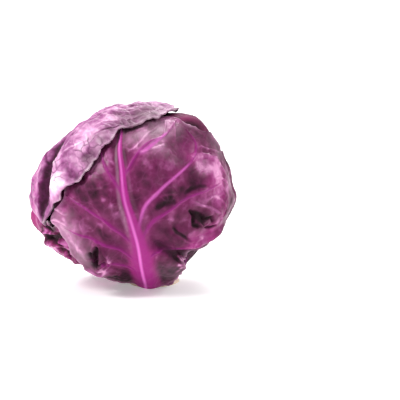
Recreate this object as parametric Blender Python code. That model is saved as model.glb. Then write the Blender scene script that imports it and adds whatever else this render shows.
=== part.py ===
"""A head of red cabbage, standing on its cut stem.

The head is a ball of leaves that are layered like shells about one centre. Each leaf is a thin blade with a
midrib and side veins. A blade is drawn flat, as a map of the head round the leaf's own middle, and is then
wrapped on the leaves beneath it. Places on the head are (azimuth, elevation) in degrees: azimuth 0 faces the
front (-Y), 90 the right (+X), and elevation -90 is straight down. Lengths are in metres, +Z is up, and the
origin is the centre of the stem's cut face.
"""

import math

import bmesh
import bpy
import numpy as np
from mathutils import Vector
from mathutils.geometry import delaunay_2d_cdt

HEAD_SIZE = (0.156, 0.150, 0.1405)  # width, depth and height of the ball that the outer leaves follow
HEAD_CENTRE = (-0.0150, 0.0, 0.0700)  # the ball leans a little to the left of its stem
MEAN_RADIUS = 0.075  # turns an angle on the head into a length on a leaf's flat map

BLADE = 0.0012  # thickness of a leaf between its veins
GAP = 0.0009  # air between one leaf and the next
DRAPE_START = 0.004  # a leaf lies flat this far past the edge of the leaf beneath it
DRAPE_WIDTH = 0.014  # and comes down over this width

STEM_RADIUS = 0.0202
STEM_TOP_RADIUS = 0.0174
STEM_HEIGHT = 0.0115
STEM_SIDES = 28
STEM_CLEARANCE = 18.0  # degrees round the stem's axis that every leaf keeps free
STEM_GAP = 0.0004  # between the stem's top and the inner head
FLOOR_CLEARANCE = 0.0006

EDGE_STEP = 0.0035  # spacing of points on the line that distances from a leaf's edge are taken to
MARGIN_STEP = 0.0068  # spacing of points along a blade's edge
VEIN_STEP = 0.0100  # spacing of points along a vein
FRONT_MESH = 0.0078  # spacing of points on the blades that show most
RUFFLE_MESH = 0.0060  # on the ruffled one
PLAIN_MESH = 0.0098  # and on the others

RIB_SIZE = (0.0095, 0.0024, 0.0040, 0.0010)  # a midrib's half width at foot and tip, and its height there
VEIN_SIZE = (0.0021, 0.0010, 0.0012, 0.0005)  # the same of a side vein

PURPLE = (0.105, 0.022, 0.075)
MAGENTA = (0.200, 0.035, 0.120)
LILAC = (0.300, 0.100, 0.240)
CREAM = (0.740, 0.550, 0.420)

CENTRE = np.array(HEAD_CENTRE)

# Low swellings and flats of the whole head: azimuth, elevation, spread in degrees, height.
HEAD_SWELLINGS = (
    (-98, 40, 24, -0.0038),  # flat shoulder at the upper left
    (-112, 66, 22, -0.0018),
    (-20, 84, 28, -0.0016),
    (84, -40, 20, -0.0080),  # drawn in at the lower right
    (-72, -60, 20, -0.0050),
    (-84, 4, 24, -0.0078),
    (94, -4, 24, 0.0004),
    (60, 45, 22, 0.0030),
    (50, -66, 18, 0.0056),  # the foot of the front leaf comes down to the floor
    (-150, -80, 22, -0.0020),
    (170, -30, 30, -0.0020),
    (150, 50, 30, -0.0015),
)

# Edges of leaves on the inner head: a round patch about azimuth and elevation, with that reach in degrees.
INNER_EDGES = ((-40, 25, 78), (120, 40, 70), (-150, 10, 84))
INNER_EDGE_HEIGHT = 0.0008


def on_head(azimuth, elevation):
    """Unit vector from the head's centre to a place on the head."""
    a, e = np.radians(azimuth), np.radians(elevation)
    return np.stack([np.sin(a) * np.cos(e), -np.cos(a) * np.cos(e), np.sin(e)], axis=-1)


def unit(v):
    return v / np.linalg.norm(v, axis=-1, keepdims=True)


STEM_WAY = unit(-CENTRE)  # from the head's centre to the middle of the cut face


def bell(t):
    """1 at t = 0, falling smoothly to 0 at t = 1 and staying there."""
    return np.clip(1 - t * t, 0, None) ** 2


def smooth_step(t):
    t = np.clip(t, 0, 1)
    return t * t * (3 - 2 * t)


def angle_between(ways, way):
    return np.degrees(np.arccos(np.clip(ways @ way, -1, 1)))


def ball(ways):
    """Radius of the outer ball of the head along each way."""
    radius = 1 / np.sqrt(((ways / (np.array(HEAD_SIZE) / 2)) ** 2).sum(axis=-1))
    for azimuth, elevation, spread, height in HEAD_SWELLINGS:
        radius = radius + height * np.exp(-((angle_between(ways, on_head(azimuth, elevation)) / spread) ** 2))
    return radius


def rounded(points, steps, closed=False):
    """A smooth curve through points: Catmull-Rom, with the same number of steps on each stretch."""
    points = np.asarray(points, float)
    if closed:
        before, after = points[-1:], points[:2]
    else:
        before, after = 2 * points[:1] - points[1:2], 2 * points[-1:] - points[-2:-1]
    p = np.concatenate([before, points, after])
    t = np.linspace(0, 1, steps, endpoint=False)[:, None]
    curve = []
    for i in range(len(points) if closed else len(points) - 1):
        a, b, c, d = p[i : i + 4]
        cubic = 3 * b - a - 3 * c + d
        square = 2 * a - 5 * b + 4 * c - d
        curve.append(b + 0.5 * ((c - a) * t + square * t**2 + cubic * t**3))
    if not closed:
        curve.append(points[-1:])
    return np.concatenate(curve)


def spaced(line, step):
    """The same line with its points about one step apart."""
    along = np.concatenate([[0], np.cumsum(np.linalg.norm(np.diff(line, axis=0), axis=1))])
    at = np.linspace(0, along[-1], max(2, round(along[-1] / step) + 1))
    return np.stack([np.interp(at, along, line[:, i]) for i in range(2)], axis=1)


def beside(line, offset):
    """The line moved sideways by offset, which may differ from point to point."""
    ahead = unit(np.gradient(line, axis=0))
    return line + np.stack([-ahead[:, 1], ahead[:, 0]], axis=1) * np.reshape(offset, (-1, 1))


def nearest(places, line):
    """Distance of each place from the line, and how far along the line that is, from 0 to 1."""
    best, share = np.full(len(places), np.inf), np.zeros(len(places))
    for i, (a, b) in enumerate(zip(line[:-1], line[1:])):
        run = b - a
        t = np.clip((places - a) @ run / (run @ run), 0, 1)
        distance = np.linalg.norm(places - a - t[:, None] * run, axis=1)
        closer = distance < best
        best = np.where(closer, distance, best)
        share = np.where(closer, (i + t) / (len(line) - 1), share)
    return best, share


def ridge(places, line, size):
    """Height of a raised rib along a line. size: half width at foot and tip, height at foot and tip."""
    wide, narrow, high, low = size
    distance, share = nearest(places, line)
    return (high + (low - high) * share) * bell(distance / (wide + (narrow - wide) * share))


class Leaf:
    """One leaf, with everything given as places on the head.

    outline: places once round the leaf. rib: from the stem to the tip. veins: side veins, each a list of
    places from the midrib outwards. pairs: side veins by rule, see pinnate. folds: (places, half width,
    height) of creases. swells: (azimuth, elevation, spread in degrees, height) of bulges. Folds and swells
    move the whole blade out, or in where the height is below 0. flares: like swells, but they only turn the
    edge up. puff: how far the blade arches between its edges. crumple: height of its small waves, and rough:
    swells of extra crumple. wave: how far the edge waves in and out in degrees, and how often. phase: sets
    its waves apart from those of the other leaves. step: spacing of its mesh.
    """

    def __init__(self, name, colour, middle, outline, rib, veins=(), pairs=(), folds=(), swells=(), flares=(),
                 rough=(), puff=0.0010, crumple=0.0005, wave=(0.9, 17), phase=0.0, step=PLAIN_MESH,
                 rib_size=RIB_SIZE):
        self.name, self.colour, self.step, self.phase = name, colour, step, phase
        self.swells, self.flares, self.rough = swells, flares, rough
        self.puff, self.crumple, self.rib_size = puff, crumple, rib_size
        self.middle = on_head(*middle)
        azimuth = math.radians(middle[0])
        self.right = np.array([math.cos(azimuth), math.sin(azimuth), 0.0])
        self.up = np.cross(self.middle, self.right)
        self.reach = self.edge_distances(outline, wave)
        self.rim = self.edge_line(EDGE_STEP)
        self.rib = self.line(rib)
        self.veins = [self.line(vein) for vein in veins] + [self.pinnate(*pair) for pair in pairs]
        self.folds = [(self.line(places), width, height) for places, width, height in folds]

    def flat(self, ways):
        """Where each way falls on the leaf's flat map: as far from its middle as it is round the head."""
        across, up = ways @ self.right, ways @ self.up
        length = np.hypot(across, up)
        scale = MEAN_RADIUS * np.arctan2(length, ways @ self.middle) / np.maximum(length, 1e-9)
        return np.stack([across * scale, up * scale], axis=-1)

    def ways(self, places):
        """The way from the head's centre to each place of the flat map."""
        length = np.linalg.norm(places, axis=-1, keepdims=True)
        sideways = places / np.maximum(length, 1e-12)
        tangent = sideways[..., :1] * self.right + sideways[..., 1:] * self.up
        return np.cos(length / MEAN_RADIUS) * self.middle + np.sin(length / MEAN_RADIUS) * tangent

    def line(self, places):
        """A smooth line on the flat map through places on the head."""
        return spaced(rounded(self.flat(on_head(*np.transpose(places))), 8), 0.004)

    def pinnate(self, start, length, sweep, side):
        """A side vein by rule: it leaves the midrib at a share of the midrib's length, at sweep degrees to
        that side (1 is right), and bends towards the tip."""
        at = min(int(start * len(self.rib)), len(self.rib) - 3)
        ahead = self.rib[at + 2] - self.rib[at]
        heading = math.atan2(ahead[1], ahead[0]) - side * math.radians(sweep)
        points = [self.rib[at]]
        for n in range(4):
            turn = heading + side * math.radians(sweep) * 0.14 * (n - 1)
            points.append(points[-1] + length / 4 * np.array([math.cos(turn), math.sin(turn)]))
        return spaced(rounded(points, 8), 0.004)

    def edge_distances(self, outline, wave):
        """How far the edge is from the middle at each degree round it, clear of the stem."""
        places = self.flat(on_head(*np.transpose(outline)))
        places = places[np.argsort(np.arctan2(places[:, 1], places[:, 0]))]
        curve = rounded(places, 12, closed=True)
        turn = np.degrees(np.arctan2(curve[:, 1], curve[:, 0]))
        order = np.argsort(turn)
        degrees = np.arange(-180, 180)
        reach = np.interp(degrees, turn[order], np.linalg.norm(curve, axis=1)[order], period=360)
        amount, count = wave
        long_wave = np.sin(np.radians(degrees * count) + self.phase)
        short_wave = np.sin(np.radians(degrees * (count * 2 - 5)) + 2 * self.phase)
        reach = reach + math.radians(amount) * MEAN_RADIUS * (long_wave + 0.6 * short_wave)
        shares = np.linspace(0, 1, 120)
        rays = np.stack([np.cos(np.radians(degrees)), np.sin(np.radians(degrees))], axis=-1)
        tried = rays[:, None] * (reach[:, None] * shares)[..., None]
        blocked = angle_between(self.ways(tried), STEM_WAY) < STEM_CLEARANCE
        last = np.where(blocked.any(axis=1), blocked.argmax(axis=1) - 1, len(shares) - 1)
        return reach * shares[last]

    def edge_line(self, step):
        """The edge as a closed line whose points are about one step apart."""
        turn = np.arange(-180, 180.25, 0.5)
        reach = np.interp(turn, np.arange(-180, 180), self.reach, period=360)
        rays = np.stack([np.cos(np.radians(turn)), np.sin(np.radians(turn))], axis=1)
        return spaced(rays * reach[:, None], step)

    def inset(self, places):
        """How far inside the edge each place is; below 0 outside."""
        turn = np.degrees(np.arctan2(places[:, 1], places[:, 0]))
        edge = np.interp(turn, np.arange(-180, 180), self.reach, period=360)
        inside = edge > np.linalg.norm(places, axis=1)
        return nearest(places, self.rim)[0] * np.where(inside, 1, -1)

    def relief(self, places):
        """Height of the midrib and the side veins over the blade."""
        height = ridge(places, self.rib, self.rib_size)
        for vein in self.veins:
            height = np.maximum(height, ridge(places, vein, VEIN_SIZE))
        return height

    def lift(self, ways, places, inset):
        """How far the blade stands off the leaves beneath it."""
        u, v = places[:, 0] * 1000, places[:, 1] * 1000
        bend = 5 * np.sin(v / 17 + self.phase) + 4 * np.sin(u / 23 - 2 * self.phase)
        waves = np.sin((u + bend) / 6.1 + self.phase) * np.sin((v - bend) / 7.3 + 1.7 * self.phase)
        amount = self.crumple
        for azimuth, elevation, spread, height in self.rough:
            amount = amount + height * bell(angle_between(ways, on_head(azimuth, elevation)) / spread)
        lift = self.puff * smooth_step(inset / 0.014) + amount * (1 + waves)
        for line, width, height in self.folds:
            distance, share = nearest(places, line)
            ends = smooth_step(4 * share) * smooth_step(4 * (1 - share))
            lift = lift + height * ends * bell(distance / width)
        for azimuth, elevation, spread, height in self.swells:
            lift = lift + height * bell(angle_between(ways, on_head(azimuth, elevation)) / spread)
        for azimuth, elevation, spread, height in self.flares:
            near = bell(angle_between(ways, on_head(azimuth, elevation)) / spread)
            lift = lift + height * near * np.exp(-np.clip(inset, 0, None) / 0.006)
        off_stem = smooth_step((angle_between(ways, STEM_WAY) - STEM_CLEARANCE) / 22)
        return np.maximum(lift, 0) * off_stem

    def cover(self, ways):
        """How much this leaf adds to the radius of whatever lies on it, also just past its edge."""
        places = self.flat(ways)
        inset = self.inset(places)
        there = smooth_step(1 + (inset + DRAPE_START) / DRAPE_WIDTH)
        wide, narrow, high, low = self.rib_size
        over_rib = ridge(places, self.rib, (1.5 * wide, 1.5 * narrow, 1.15 * high, 1.15 * low))
        return there * (GAP + BLADE + self.lift(ways, places, inset) + over_rib + VEIN_SIZE[2])

    def room(self, ways):
        """About how much radius this leaf needs, which the inner head leaves free."""
        places = self.flat(ways)
        wide, narrow, high, low = self.rib_size
        for_rib = ridge(places, self.rib, (3 * wide, 3 * narrow, 0.7 * high, 0.7 * low))
        thick = GAP + BLADE + self.puff + self.crumple + VEIN_SIZE[2] + for_rib
        return smooth_step((self.inset(places) + 0.018) / 0.040) * thick


def make_leaves():
    """The leaves, from the innermost outwards."""
    return (
        Leaf(
            "leaf_inner_back",
            PURPLE,
            middle=(178, 8),
            outline=((178, 88), (140, 62), (126, 30), (124, 0), (126, -30), (140, -58), (178, -72),
                     (-140, -62), (-122, -34), (-118, 0), (-118, 30), (-138, 62)),
            rib=((178, -74), (178, -40), (176, 0), (178, 40), (179, 72)),
            pairs=((0.25, 0.062, 58, 1), (0.25, 0.062, 58, -1), (0.5, 0.055, 50, 1),
                   (0.5, 0.055, 50, -1)),
            phase=0.7,
        ),
        Leaf(
            "leaf_inner_right",
            MAGENTA,
            middle=(100, 8),
            outline=((100, 84), (50, 72), (22, 46), (20, 5), (35, -30), (62, -58), (110, -70), (150, -52),
                     (168, -25), (172, 10), (165, 42), (140, 70)),
            rib=((88, -74), (90, -40), (94, 0), (95, 40), (96, 66)),
            pairs=((0.22, 0.062, 60, 1), (0.22, 0.062, 60, -1), (0.45, 0.058, 52, 1),
                   (0.45, 0.058, 52, -1), (0.68, 0.036, 44, 1), (0.68, 0.036, 44, -1)),
            swells=((82, 50, 26, 0.0050),),
            phase=2.1,
        ),
        Leaf(
            "leaf_inner_left",
            PURPLE,
            middle=(-88, 4),
            outline=((-88, 74), (-45, 60), (-18, 30), (-15, -5), (-28, -38), (-60, -64), (-105, -72),
                     (-140, -55), (-158, -25), (-162, 10), (-150, 45), (-125, 66)),
            rib=((-96, -76), (-92, -40), (-88, 0), (-90, 36), (-92, 60)),
            pairs=((0.22, 0.060, 60, 1), (0.22, 0.060, 60, -1), (0.48, 0.052, 52, 1),
                   (0.48, 0.052, 52, -1)),
            phase=3.3,
        ),
        Leaf(
            "leaf_back",
            PURPLE,
            middle=(158, -4),
            outline=((164, 62), (138, 52), (122, 30), (117, 2), (118, -28), (128, -55), (155, -74),
                     (-172, -66), (-148, -44), (-138, -15), (-140, 15), (-156, 44)),
            rib=((148, -76), (152, -45), (156, -8), (160, 25), (160, 50)),
            pairs=((0.16, 0.060, 64, 1), (0.18, 0.060, 64, -1), (0.36, 0.060, 56, 1),
                   (0.40, 0.058, 56, -1), (0.58, 0.045, 48, 1), (0.62, 0.042, 48, -1)),
            flares=((118, -20, 26, 0.0016), (-140, -30, 26, 0.0025), (140, 58, 24, 0.0018)),
            wave=(1.2, 15),
            phase=5.0,
        ),
        Leaf(
            "leaf_low_right",
            PURPLE,
            middle=(76, -38),
            outline=((88, -8), (66, -8), (44, -16), (24, -30), (26, -52), (50, -70), (84, -74),
                     (118, -66), (130, -42), (122, -20), (106, -10)),
            rib=((62, -76), (70, -62), (78, -38), (84, -16)),
            rib_size=(0.0085, 0.0024, 0.0034, 0.0010),
            pairs=((0.3, 0.034, 58, 1), (0.3, 0.036, 58, -1), (0.6, 0.024, 50, 1), (0.6, 0.024, 50, -1)),
            flares=((44, -54, 20, 0.0044), (118, -25, 22, 0.0020)),
            wave=(1.5, 13),
            phase=1.2,
        ),
        Leaf(
            "leaf_low_left",
            MAGENTA,
            middle=(-86, -38),
            outline=((-102, 5), (-93, 4), (-84, -1), (-76, -6), (-68, -10), (-60, -13), (-53, -14),
                     (-46, -11), (-38, -14), (-32, -28), (-24, -42), (-18, -56), (-34, -70), (-88, -80),
                     (-134, -70), (-146, -48), (-136, -22), (-116, -2)),
            rib=((-66, -78), (-76, -62), (-88, -42), (-94, -18)),
            rib_size=(0.0085, 0.0024, 0.0034, 0.0010),
            pairs=((0.3, 0.040, 60, 1), (0.3, 0.040, 60, -1), (0.6, 0.024, 50, 1), (0.6, 0.024, 50, -1)),
            folds=(
                # ruffles one below the other, with hollows between them
                (((-76, -24), (-60, -23), (-50, -20), (-41, -22)), 0.0050, -0.0042),
                (((-92, -28), (-72, -28), (-57, -26), (-48, -26), (-38, -32)), 0.0056, 0.0030),
                (((-66, -33), (-58, -31), (-50, -30)), 0.0050, -0.0036),
                (((-60, -40), (-55, -36), (-50, -30)), 0.0040, -0.0030),
                (((-60, -46), (-50, -40), (-42, -38)), 0.0050, 0.0022),
            ),
            swells=((-82, -32, 30, 0.0036), (-88, -13, 16, 0.0082)),
            flares=((-58, -16, 16, 0.0020), (-92, -4, 16, 0.0010)),
            wave=(1.0, 15),
            phase=4.1,
            step=RUFFLE_MESH,
        ),
        Leaf(
            "leaf_front",
            PURPLE,
            middle=(15, -4),
            outline=((-12, 70), (-40, 52), (-46, 30), (-43, 14), (-42, 4), (-45, 0), (-49, -3), (-49, -9),
                     (-45, -13), (-42, -19), (-40, -24), (-38, -29), (-36, -36), (-33, -42), (-29, -50),
                     (-28, -60), (-18, -74), (30, -84), (64, -74), (57, -60), (51, -50), (46, -43),
                     (41, -37), (36, -31), (42, -29), (52, -28), (70, -26), (88, -22), (100, -12),
                     (104, 4), (99, 18), (88, 28), (76, 36), (66, 42), (56, 49), (54, 56), (50, 62),
                     (20, 70)),
            rib=((28, -71), (18, -60), (10, -42), (6, -22), (2, -7), (-2, 7), (-4, 22), (-7, 37),
                 (-9, 52), (-11, 62)),
            rib_size=(0.0150, 0.0030, 0.0034, 0.0014),
            veins=(
                ((5, -14), (9, 1), (17, 10), (29, 18), (43, 26), (51, 34), (52, 46)),
                ((6, -22), (14, -7), (25, 0), (35, 5), (48, 8), (62, 10)),
                ((-3, 20), (6, 34), (15, 40), (26, 43), (37, 48), (50, 54)),
                ((9, -36), (20, -26), (30, -24), (42, -24)),
                ((0, -20), (-11, -9), (-20, -3), (-30, 2), (-40, 6)),
                ((4, -36), (-8, -25), (-20, -19), (-30, -15), (-42, -12)),
                ((-3, 8), (-9, 17), (-16, 26), (-24, 38)),
                ((8, -50), (-6, -40), (-18, -34), (-30, -30)),
            ),
            puff=0.0022,
            crumple=0.0005,
            rough=((72, -6, 36, 0.0008), (60, 34, 26, 0.0004)),
            folds=(
                # the lower lip of the bulge on the right, the hollow under it, the dimple low on the left,
                # and a shallow dent above the lip
                (((20, -8), (26, -15), (33, -20), (42, -22), (52, -21), (64, -18), (76, -14)), 0.0060,
                 0.0036),
                (((14, -20), (24, -25), (36, -28), (50, -27)), 0.0060, -0.0034),
                (((-25, -24), (-24, -31), (-24, -38)), 0.0060, -0.0040),
                (((37, -2), (42, -6), (47, -10)), 0.0046, -0.0016),
            ),
            swells=((54, 12, 25, 0.0030), (30, 32, 15, 0.0012), (-24, 12, 13, 0.0010),
                    (-34, -14, 14, 0.0012), (42, -19, 30, 0.0016), (-26, -34, 20, 0.0036),
                    (20, 4, 13, 0.0010)),
            flares=((-50, -6, 12, 0.0018), (-42, -26, 16, 0.0022), (-20, -50, 14, 0.0008),
                    (40, -38, 13, 0.0042), (72, -26, 16, 0.0010), (78, 40, 18, 0.0008)),
            wave=(0.7, 19),
            phase=0.4,
            step=FRONT_MESH,
        ),
        Leaf(
            "leaf_crown",
            LILAC,
            middle=(-118, 34),
            outline=((-4, 53), (-11, 50), (-13, 45), (-15, 39), (-20, 33), (-22, 28), (-25, 22),
                     (-30, 17), (-33, 13), (-38, 11), (-41, 7), (-43, 3), (-47, -1), (-50, -6),
                     (-55, -11), (-62, -14), (-70, -11), (-78, -7), (-88, -1), (-100, 0), (-113, -16),
                     (-122, -42), (-132, -62), (-160, -66), (-168, -48), (-174, -26), (180, -5),
                     (170, 20), (158, 42), (130, 58), (96, 62), (64, 62), (34, 59), (18, 56), (6, 54)),
            rib=((-146, -76), (-144, -50), (-136, -15), (-126, 20), (-114, 55), (-80, 78)),
            pairs=((0.18, 0.050, 60, 1), (0.18, 0.056, 60, -1), (0.36, 0.066, 54, 1),
                   (0.36, 0.060, 54, -1), (0.56, 0.068, 48, 1), (0.56, 0.056, 48, -1),
                   (0.76, 0.045, 42, 1), (0.76, 0.040, 42, -1)),
            folds=(
                # the deep furrow down the left side, with a roll on each side of it
                (((-84, 42), (-74, 33), (-65, 22), (-60, 11), (-58, 0), (-58, -10), (-59, -20)), 0.0125,
                 -0.0088),
                (((-56, 30), (-54, 14), (-53, 0)), 0.0060, 0.0016),
            ),
            swells=((-80, 12, 33, 0.0078), (-46, 12, 13, 0.0026), (-40, 26, 16, 0.0006)),
            flares=((-20, 36, 20, 0.0006), (20, 58, 26, 0.0006), (-88, -10, 14, 0.0010),
                    (165, 30, 26, 0.0020)),
            wave=(0.5, 23),
            phase=2.6,
            step=FRONT_MESH,
        ),
    )


def inner_ball(ways, leaves):
    """Radius of the inner head: the outer ball less the room that the leaves take."""
    radius = ball(ways)
    for leaf in leaves:
        radius = radius - leaf.room(ways)
    return radius


def blade_faces(number, leaves, ways, places):
    """Radius of the inner and of the outer face along each way, for the leaf of that number."""
    leaf = leaves[number]
    inner = inner_ball(ways, leaves)
    for other in leaves[:number]:
        inner = inner + other.cover(ways)
    inner = inner + leaf.lift(ways, places, leaf.inset(places))
    outer = inner + BLADE + leaf.relief(places)
    floor = (CENTRE[2] - FLOOR_CLEARANCE) / np.maximum(-ways[:, 2], 1e-3)
    squeeze = np.minimum(1, floor / outer)
    return inner * squeeze, outer * squeeze


def flat_mesh(leaf):
    """The leaf's flat map in triangles, with edges along its outline and along each rib's crest and sides."""
    rim = leaf.edge_line(MARGIN_STEP)[:-1]
    points, edges = list(rim), [(i, (i + 1) % len(rim)) for i in range(len(rim))]
    clear_of_rib = [vein[nearest(vein, leaf.rib)[0] > 0.75 * leaf.rib_size[0]] for vein in leaf.veins]
    ribs = [(leaf.rib, leaf.rib_size)] + [(vein, VEIN_SIZE) for vein in clear_of_rib if len(vein) > 3]
    for line, size in ribs:
        line = spaced(line, VEIN_STEP)
        half = np.linspace(size[0], size[1], len(line))
        for side in (-1, 0, 1):
            drawn = beside(line, side * half)
            drawn = drawn[leaf.inset(drawn) > 0.45 * MARGIN_STEP]
            edges.extend((len(points) + i, len(points) + i + 1) for i in range(len(drawn) - 1))
            points.extend(drawn)
    across = np.arange(-leaf.reach.max(), leaf.reach.max(), leaf.step)
    rows = np.arange(-leaf.reach.max(), leaf.reach.max(), leaf.step * math.sin(math.radians(60)))
    grid = np.array([(x + leaf.step / 2 * (n % 2), y) for n, y in enumerate(rows) for x in across])
    grid = grid[leaf.inset(grid) > 0.6 * leaf.step]
    apart = np.linalg.norm(grid[:, None] - np.array(points)[None], axis=2).min(axis=1)
    points.extend(grid[apart > 0.55 * leaf.step])
    made = delaunay_2d_cdt([Vector(p) for p in points], edges, [list(range(len(rim)))], 1, 1e-6)
    return np.array([tuple(v) for v in made[0]]), made[2]


def make_leaf(number, leaves, collection):
    """A blade: two faces of the same triangles, and a wall between their rims."""
    leaf = leaves[number]
    places, triangles = flat_mesh(leaf)
    ways = leaf.ways(places)
    inner, outer = blade_faces(number, leaves, ways, places)
    shape = bmesh.new()
    outside = [shape.verts.new(CENTRE + way * radius) for way, radius in zip(ways, outer)]
    inside = [shape.verts.new(CENTRE + way * radius) for way, radius in zip(ways, inner)]
    sides = set()
    for a, b, c in triangles:
        shape.faces.new((outside[a], outside[b], outside[c]))
        shape.faces.new((inside[c], inside[b], inside[a]))
        sides.update(((a, b), (b, c), (c, a)))
    for a, b in sides:
        if (b, a) not in sides:
            shape.faces.new((outside[b], outside[a], inside[a]))
            shape.faces.new((outside[b], inside[a], inside[b]))
    bmesh.ops.recalc_face_normals(shape, faces=shape.faces)
    finish(shape, leaf.name, leaf.colour, collection)


def make_inner_head(leaves, collection):
    """The tight inner leaves as one ball, with some of their edges as low steps."""
    shape = bmesh.new()
    bmesh.ops.create_uvsphere(shape, u_segments=40, v_segments=26, radius=1)
    ways = unit(np.array([tuple(v.co) for v in shape.verts]))
    radius = inner_ball(ways, leaves) - 2 * GAP - INNER_EDGE_HEIGHT * len(INNER_EDGES)
    for azimuth, elevation, reach in INNER_EDGES:
        inside = reach - angle_between(ways, on_head(azimuth, elevation))
        radius = radius + INNER_EDGE_HEIGHT * smooth_step(inside / 8)
    over_stem = (CENTRE[2] - STEM_HEIGHT - STEM_GAP) / np.maximum(-ways[:, 2], 1e-3)
    radius = np.minimum(radius, over_stem)
    for vert, way, r in zip(shape.verts, ways, radius):
        vert.co = CENTRE + way * r
    finish(shape, "inner_head", MAGENTA, collection)


def make_stem(collection):
    """The cut stem: a short, slightly uneven cone that leans towards the head's centre."""
    shape = bmesh.new()
    bmesh.ops.create_cone(
        shape,
        cap_ends=True,
        segments=STEM_SIDES,
        radius1=STEM_RADIUS,
        radius2=STEM_TOP_RADIUS,
        depth=STEM_HEIGHT,
    )
    lean = CENTRE[0] / CENTRE[2]
    for vert in shape.verts:
        height = vert.co.z + STEM_HEIGHT / 2
        turn = math.atan2(vert.co.y, vert.co.x)
        uneven = 1 + 0.03 * math.sin(3 * turn + 0.6) + 0.02 * math.sin(5 * turn)
        vert.co = (vert.co.x * uneven + lean * height, vert.co.y * uneven, height)
    finish(shape, "stem", CREAM, collection)


def finish(shape, name, colour, collection):
    """Make the object, smooth over its gentle edges, with a waxy material of its own."""
    mesh = bpy.data.meshes.new(name)
    shape.to_mesh(mesh)
    shape.free()
    mesh.shade_smooth()
    mesh.set_sharp_from_angle(angle=math.radians(50))
    collection.objects.link(bpy.data.objects.new(name, mesh))
    material = bpy.data.materials.new(name)
    material.use_nodes = True
    surface = material.node_tree.nodes["Principled BSDF"]
    surface.inputs["Base Color"].default_value = (*colour, 1)
    surface.inputs["Roughness"].default_value = 0.42
    surface.inputs["Metallic"].default_value = 0.0
    mesh.materials.append(material)


def main():
    for obj in list(bpy.data.objects):
        bpy.data.objects.remove(obj)
    collection = bpy.data.collections.new("red_cabbage_head")
    bpy.context.scene.collection.children.link(collection)
    leaves = make_leaves()
    make_stem(collection)
    make_inner_head(leaves, collection)
    for number in range(len(leaves)):
        make_leaf(number, leaves, collection)


main()
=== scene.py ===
"""A head of red cabbage on a white table: the finished leaves, their colours, the light and the camera.

Places on the head are (azimuth, elevation) in degrees about its centre: azimuth 0 faces the front (-Y),
90 the right (+X), and elevation -90 is straight down. Lengths are in metres unless a comment or a name
ending in _mm says otherwise.
"""
import math

import bpy
import numpy as np
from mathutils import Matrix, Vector


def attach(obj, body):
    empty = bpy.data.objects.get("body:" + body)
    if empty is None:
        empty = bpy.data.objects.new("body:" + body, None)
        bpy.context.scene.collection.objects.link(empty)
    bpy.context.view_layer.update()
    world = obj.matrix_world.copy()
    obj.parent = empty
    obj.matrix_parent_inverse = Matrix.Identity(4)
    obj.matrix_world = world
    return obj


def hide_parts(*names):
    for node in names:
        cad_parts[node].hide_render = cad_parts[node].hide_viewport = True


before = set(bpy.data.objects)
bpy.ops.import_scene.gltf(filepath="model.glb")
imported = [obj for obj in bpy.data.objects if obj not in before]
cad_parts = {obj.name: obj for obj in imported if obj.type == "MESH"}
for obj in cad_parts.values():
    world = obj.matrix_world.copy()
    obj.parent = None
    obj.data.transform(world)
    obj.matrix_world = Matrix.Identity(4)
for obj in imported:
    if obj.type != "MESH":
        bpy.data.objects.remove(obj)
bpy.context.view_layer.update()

# The head, as it was built.
HEAD_SIZE = np.array((0.156, 0.150, 0.1405))  # width, depth and height of the ball that the leaves follow
CENTRE = np.array((-0.0150, 0.0, 0.0700))
MEAN_RADIUS = 0.075  # turns an angle on the head into a length on a leaf's flat map
HEAD_SWELLINGS = (  # azimuth, elevation, spread in degrees, height
    (-98, 40, 24, -0.0038),
    (-112, 66, 22, -0.0018),
    (-20, 84, 28, -0.0016),
    (84, -40, 20, -0.0080),
    (-72, -60, 20, -0.0050),
    (-84, 4, 24, -0.0078),
    (94, -4, 24, 0.0004),
    (60, 45, 22, 0.0030),
    (50, -66, 18, 0.0056),
    (-150, -80, 22, -0.0020),
    (170, -30, 30, -0.0020),
    (150, 50, 30, -0.0015),
)
GAP = 0.0009  # air between one leaf and the next
BLADE = 0.0012  # what a leaf takes up between its veins
THIN = 0.0009  # and how thick the finished blade is there
DRAPE_START = 0.004
DRAPE_WIDTH = 0.014
RIB_SIZE = (0.0095, 0.0024, 0.0040, 0.0010)  # half width at foot and tip, height at foot and tip
VEIN_SIZE = (0.0021, 0.0010, 0.0012, 0.0005)
STEM_CLEARANCE = 18.0  # degrees round the stem's axis
FLOOR_CLEARANCE = 0.0006

EDGE_STEP = 0.0035
MAP_STEP = 0.0012  # spacing of the maps of what each leaf takes up

# What the finished skin adds: sizes and widths in mm on a leaf's flat map, heights in metres. A seed
# picks the random draw.
NET_LINE, SMALL_NET_LINE = 0.5, 0.35  # widths of the lines in the two nets of fine veins
SMALL_CELL = 0.42  # a small cell's size as a share of a large one's
NET_WARP = 4.2  # how far the nets wander from straight borders
# crease size and line width in mm, height of their relief, and how much paler they are painted as
# highlights
CREASE_SIZE, CREASE_LINE, CREASE_HEIGHT, CREASE_HIGHLIGHT = 12, 0.075, 0.00034, 0.13
BUMPS = ((7.0, 0.00028, 51), (2.4, 0.00010, 67))  # size, height, seed
MOTTLES = ((17, 0.16, 101), (4, 0.17, 131))  # size, strength, seed
STREAK_SIZE, STREAK_STRENGTH = 3.4, 0.26
MID_TONE, DARKEST = 0.5, 0.02
HOLLOW_SHADE = 0.85  # how far a hollow darkens a leaf
RIDGE_SHINE = 0.3  # the most that a ridge pales it, as a share of that
FULL_HOLLOW = 0.0016  # a wrinkle as deep as this gets the full painted shade
TOOTH_RING, TOOTH_SIZE = 60, 2.2  # the edge's teeth are cut from a ring of random heights
CURL_HEIGHT, CURL_WIDTH, RIM_WIDTH = 0.0007, 0.0022, 0.0011  # turned-up edge and pale rim, in metres

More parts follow.
